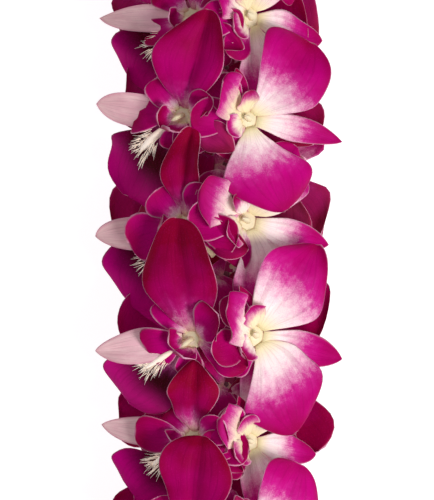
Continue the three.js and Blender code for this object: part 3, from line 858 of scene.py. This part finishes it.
def make_petal(name, veins, velvet, throat):
    """Petals, sepals and lips: the look attribute's crimson, violet and pale shares, the crimson partly the
    blade's own hue and partly painted shade, white at the claw that breaks up into streaks and specks, darker
    veins, sparkle, and a pale rim that comes and goes, partly a pale margin and partly painted highlight. A
    throat is darkest inside, painted shade in its hollow. The faint emission of the same colour is a painted
    glow that stands in for the light that passes through a petal and lightens its shade."""
    material, g, shader = new_material(name, Specular_IOR_Level=0.03, Sheen_Weight=0.02, Sheen_Roughness=0.4,
                                       Sheen_Tint=rgb("ff30a0"), Emission_Strength=0.065)
    uv = g.blade_uv()
    t, v = g.split(uv)
    look = g.node("ShaderNodeAttribute", {"attribute_name": "look"})
    amounts = g.node("ShaderNodeSeparateColor", Color=look.outputs["Color"])
    deep_and_shade, violet, pale = (amounts.outputs[k] for k in ("Red", "Green", "Blue"))
    white = look.outputs["Alpha"]
    margin = g.node("ShaderNodeAttribute", {"attribute_name": "margin"}).outputs["Fac"]
    lines = g.node("ShaderNodeGroup", {"node_tree": veins})
    g.put(lines.inputs["Blade"], uv)
    lines.inputs["Count"].default_value = 13.0 if throat else 9.0
    streak, vein = lines.outputs["Streak"], lines.outputs["Vein"]
    cells = g.node("ShaderNodeGroup", {"node_tree": velvet})
    sparkle, cloud = cells.outputs["Sparkle"], cells.outputs["Cloud"]
    off_middle = g.math("ABSOLUTE", g.minus(g.times(v, 2.0), 1.0))

    patch = g.times(g.minus(cloud, 0.5), 1.6)
    # The crimson share is deeper along a blade's middle, which is painted shade, and lighter towards its
    # claw.
    inner = g.minus(1.0, g.times(off_middle, 0.25))
    inner = g.times(inner, g.plus(0.5, g.times(g.step(0.1, 0.65, t), 0.5)))
    crimson_and_shade = g.plus(g.times(deep_and_shade, inner), g.times(patch, 0.5))
    # Painted shade: the crimson deepens within about 4 mm of a blade's edges.
    crimson_and_shade = g.plus(crimson_and_shade, g.times(g.step(4.0, 0.4, margin), 0.3))
    crimson_and_shade = g.plus(crimson_and_shade, g.times(g.step(0.55, 0.95, t), 0.28))
    colour = g.mix(g.clamp(crimson_and_shade), rgb("b80076"), rgb("88002c"))
    colour = g.mix(violet, colour, rgb("c00080"))
    if throat:
        # Painted shade: the throat darkens to near black towards its hollow, near the lip's root and along
        # its middle.
        hollow_shade = g.step(0.95, 0.5, g.plus(t, g.times(off_middle, 0.16)))
        hollow_shade = g.minus(hollow_shade, g.times(cells.outputs["Blotch"], 0.12))
        hollow_shade = g.times(g.clamp(hollow_shade), 1.1)
        colour = g.mix(g.clamp(hollow_shade), colour, rgb("40000e"))

    blotch = g.times(g.minus(cells.outputs["Blotch"], 0.5), 0.22)
    speck = g.plus(g.times(g.minus(sparkle, 0.5), 0.15), blotch)
    ray = g.times(g.minus(streak, 0.5), 0.2)
    reach = g.minus(g.plus(t, speck), ray)
    reach = g.plus(reach, g.times(off_middle, 0.06))
    flush = g.step(g.plus(white, 0.36), g.minus(white, 0.08), reach)
    colour = g.mix(g.times(flush, 0.75), colour, rgb("d440a6"))
    bare = g.step(g.plus(white, 0.2), g.minus(white, 0.24), reach)
    cream = g.mix(g.step(0.22, 0.0, t), rgb("f9e6e6"), rgb("ecdfb0"))
    cream = g.mix(g.step(0.52, 0.66, white), cream, rgb("ecdfb6"))
    colour = g.mix(bare, colour, cream)

    back = g.times(pale, g.minus(1.1, g.times(streak, 0.5)))
    colour = g.mix(back, colour, g.mix(cloud, rgb("fdeae2"), rgb("f6c4d0")))
    blush = g.times(pale, g.step(1.6, 0.2, g.plus(margin, g.times(cloud, 0.8))))
    colour = g.mix(g.times(blush, 0.55), colour, rgb("c85c88"))
    colour = g.mix(g.times(vein, 0.16), colour, rgb("6a0030"))
    colour = g.mix(g.times(g.step(0.58, 0.75, sparkle), 0.12), colour, rgb("f020a0"))
    # The pale rim is partly the blade's own pale margin and partly painted highlight along its edges.
    rim_and_highlight = g.step(0.5, 0.08, g.plus(margin, g.times(cloud, 0.42)))
    colour = g.mix(g.times(rim_and_highlight, 0.85), colour, rgb("f6bcda"))
    g.put(shader.inputs["Base Color"], colour)
    # Painted glow: the colour is faintly emitted, standing in for light that passes through a petal, and
    # lightens its shade.
    g.put(shader.inputs["Emission Color"], colour)
    g.put(shader.inputs["Roughness"], g.plus(0.42, g.times(sparkle, 0.3)))
    height = g.plus(g.times(vein, -1.2), cells.outputs["Height"])
    g.bump(shader, 0.35, height)
    return material


def make_plain(name, velvet, near, far, tip, roughness, glow=0.0):
    """Columns, stalks and fringes: near at the foot, far towards the end and tip at the very end, mottled
    by a cloud. The glow is painted light that stands in for the light that passes through thin hairs."""
    material, g, shader = new_material(name, Specular_IOR_Level=0.3, Sheen_Weight=0.05,
                                       Emission_Strength=glow, Emission_Color=rgb(far))
    along, _ = g.split(g.blade_uv())
    cells = g.node("ShaderNodeGroup", {"node_tree": velvet})
    place_on = g.plus(along, g.times(g.minus(cells.outputs["Cloud"], 0.5), 0.5))
    colour = g.mix(g.step(0.15, 0.75, place_on), rgb(near), rgb(far))
    colour = g.mix(g.step(0.85, 1.0, place_on), colour, rgb(tip))
    colour = g.mix(g.times(cells.outputs["Sparkle"], 0.16), colour, rgb("ffffff"))
    g.put(shader.inputs["Base Color"], colour)
    rough = g.plus(roughness, g.times(cells.outputs["Sparkle"], 0.2))
    g.put(shader.inputs["Roughness"], rough)
    g.bump(shader, 0.3, cells.outputs["Height"])
    return material


def make_fibre(name):
    """Spun thread: slanting bands round it, from the piece's own UV, with a mottle of off-white."""
    material, g, shader = new_material(name, Specular_IOR_Level=0.2)
    along, around = g.split(g.blade_uv())
    turns = g.plus(g.times(along, 700.0), g.times(around, 3.0))
    band = g.math("ABSOLUTE", g.minus(g.math("FRACT", turns), 0.5))
    here = g.node("ShaderNodeTexCoord").outputs["Object"]
    colour = g.mix(g.times(band, 1.4), rgb("f4f0e4"), rgb("c9c0aa"))
    colour = g.mix(g.times(g.noise(here, 900.0), 0.4), colour, rgb("ded6c2"))
    g.put(shader.inputs["Base Color"], colour)
    g.put(shader.inputs["Roughness"], g.plus(0.7, g.times(band, 0.3)))
    g.bump(shader, 0.4, band)
    return material


# The lei

veins = make_veins()
velvet = make_velvet()
bloom_materials = [
    make_petal("orchid petal", veins, velvet, throat=False),
    make_petal("orchid lip", veins, velvet, throat=True),
    make_plain("orchid column", velvet, "ecdfb0", "ecdfb8", "f6e6d8", 0.55),
    make_plain("orchid stalk", velvet, "b85c8c", "94506c", "7c4456", 0.5),
    # The fringe's glow is painted light.
    make_plain("lip fringe", velvet, "f6dcc4", "fff4e6", "fffaf4", 0.5, 0.2),
]

for i in range(WHORLS):
    layer = "Inner" if i % 2 else "Outer"
    y = FIRST_WHORL + i * PITCH
    make_pair(f"blooms_upper_{i + 1:02d}", ("frontRight" + layer, "frontLeft" + layer),
              y, 2 * i + 1, bloom_materials)
    make_pair(f"blooms_lower_{i + 1:02d}", ("backRight" + layer, "backLeft" + layer),
              y - PITCH / 2, 2 * i + 2, bloom_materials)


KNOT_HALF = 2.4            # half the length of the thread's knot
THREAD_RINGS, THREAD_SIDES = 1400, 8


def make_thread():
    """The thread: a closed ring of round sections carried along the loop. Its knot, between two pairs of
    stalks, is a swelling by a triangle that a cosine ripples."""
    steps, ring = THREAD_RINGS, THREAD_SIDES
    knot = FIRST_WHORL + PITCH / 4
    y = FIRST_WHORL + np.arange(steps) * LOOP_LENGTH / steps
    off = (y - knot) / KNOT_HALF
    radius = THREAD_RADIUS + np.where(np.abs(off) < 1, 1 - np.abs(off), 0) * (0.8 + 0.25 * np.cos(off * 9))
    angle = np.arange(ring) * 2 * np.pi / ring
    yy = np.broadcast_to(y[:, None], (steps, ring))
    points = np.stack([radius[:, None] * np.cos(angle), yy, radius[:, None] * np.sin(angle)], axis=-1)
    i, j = np.meshgrid(np.arange(steps), np.arange(ring), indexing="ij")
    k, up = (j + 1) % ring, (i + 1) % steps
    quads = np.stack([i * ring + j, up * ring + j, up * ring + k, i * ring + k], axis=-1).reshape(-1, 4)
    uv = np.stack([i / steps, j / ring], axis=-1).reshape(-1, 2)
    build = Build()
    build.add(place(points.reshape(-1, 3)), (quads, np.zeros((0, 3), int)), 0, uv)
    piece = build.finish("stringing_thread", [make_fibre("spun thread")], "thread")


make_thread()

# The floor and the light

FLOOR_HALF, FLOOR_DROP = 3, 0.0004     # in metres: half its side, and how far it is under the lei
corners = [(x * FLOOR_HALF, y * FLOOR_HALF, -FLOOR_DROP) for x, y in ((-1, -1), (1, -1), (1, 1), (-1, 1))]

floor_mesh = bpy.data.meshes.new("floor")
floor_mesh.from_pydata(corners, [], [(0, 1, 2, 3)])
floor_material = new_material("pale floor", Roughness=0.9, Base_Color=(0.45, 0.45, 0.45, 1),
                              Specular_IOR_Level=0.1, Emission_Color=(1, 1, 1, 1), Emission_Strength=0.86)[0]
floor_mesh.materials.append(floor_material)
floor = bpy.data.objects.new("floor", floor_mesh)
scene.collection.objects.link(floor)


def add_light(name, place_m, target, size, power, tint):
    """A square soft box at place_m that faces target."""
    data = bpy.data.lights.new(name, "AREA")
    data.size = size
    data.energy = power
    data.color = tint
    light = bpy.data.objects.new(name, data)
    light.location = place_m
    way = np.subtract(target, place_m)
    light.rotation_euler = (math.atan2(math.hypot(way[0], way[1]), -way[2]), 0,
                            math.atan2(way[1], way[0]) - math.pi / 2)
    scene.collection.objects.link(light)


AIM = (LOOK_X, 0.0, 0.03)
add_light("key", (0.75, -0.35, 0.95), AIM, 0.45, 11.5, (1, 0.98, 0.965))
add_light("fill", (-0.6, 0.5, 1.1), AIM, 0.9, 1.8, (0.97, 0.98, 1))

# The world lights the lei faintly and is white to the camera.
WORLD_LIGHT = 0.3
world = bpy.data.worlds.new("studio")
world.use_nodes = True
sky = Graph(world.node_tree)
backdrop = world.node_tree.nodes["Background"]
backdrop.inputs["Color"].default_value = (1, 1, 1, 1)
seen = sky.node("ShaderNodeLightPath").outputs["Is Camera Ray"]
sky.put(backdrop.inputs["Strength"], sky.plus(WORLD_LIGHT, sky.times(seen, 1 - WORLD_LIGHT)))
scene.world = world
scene.view_settings.view_transform = "Standard"
scene.view_settings.look = "None"
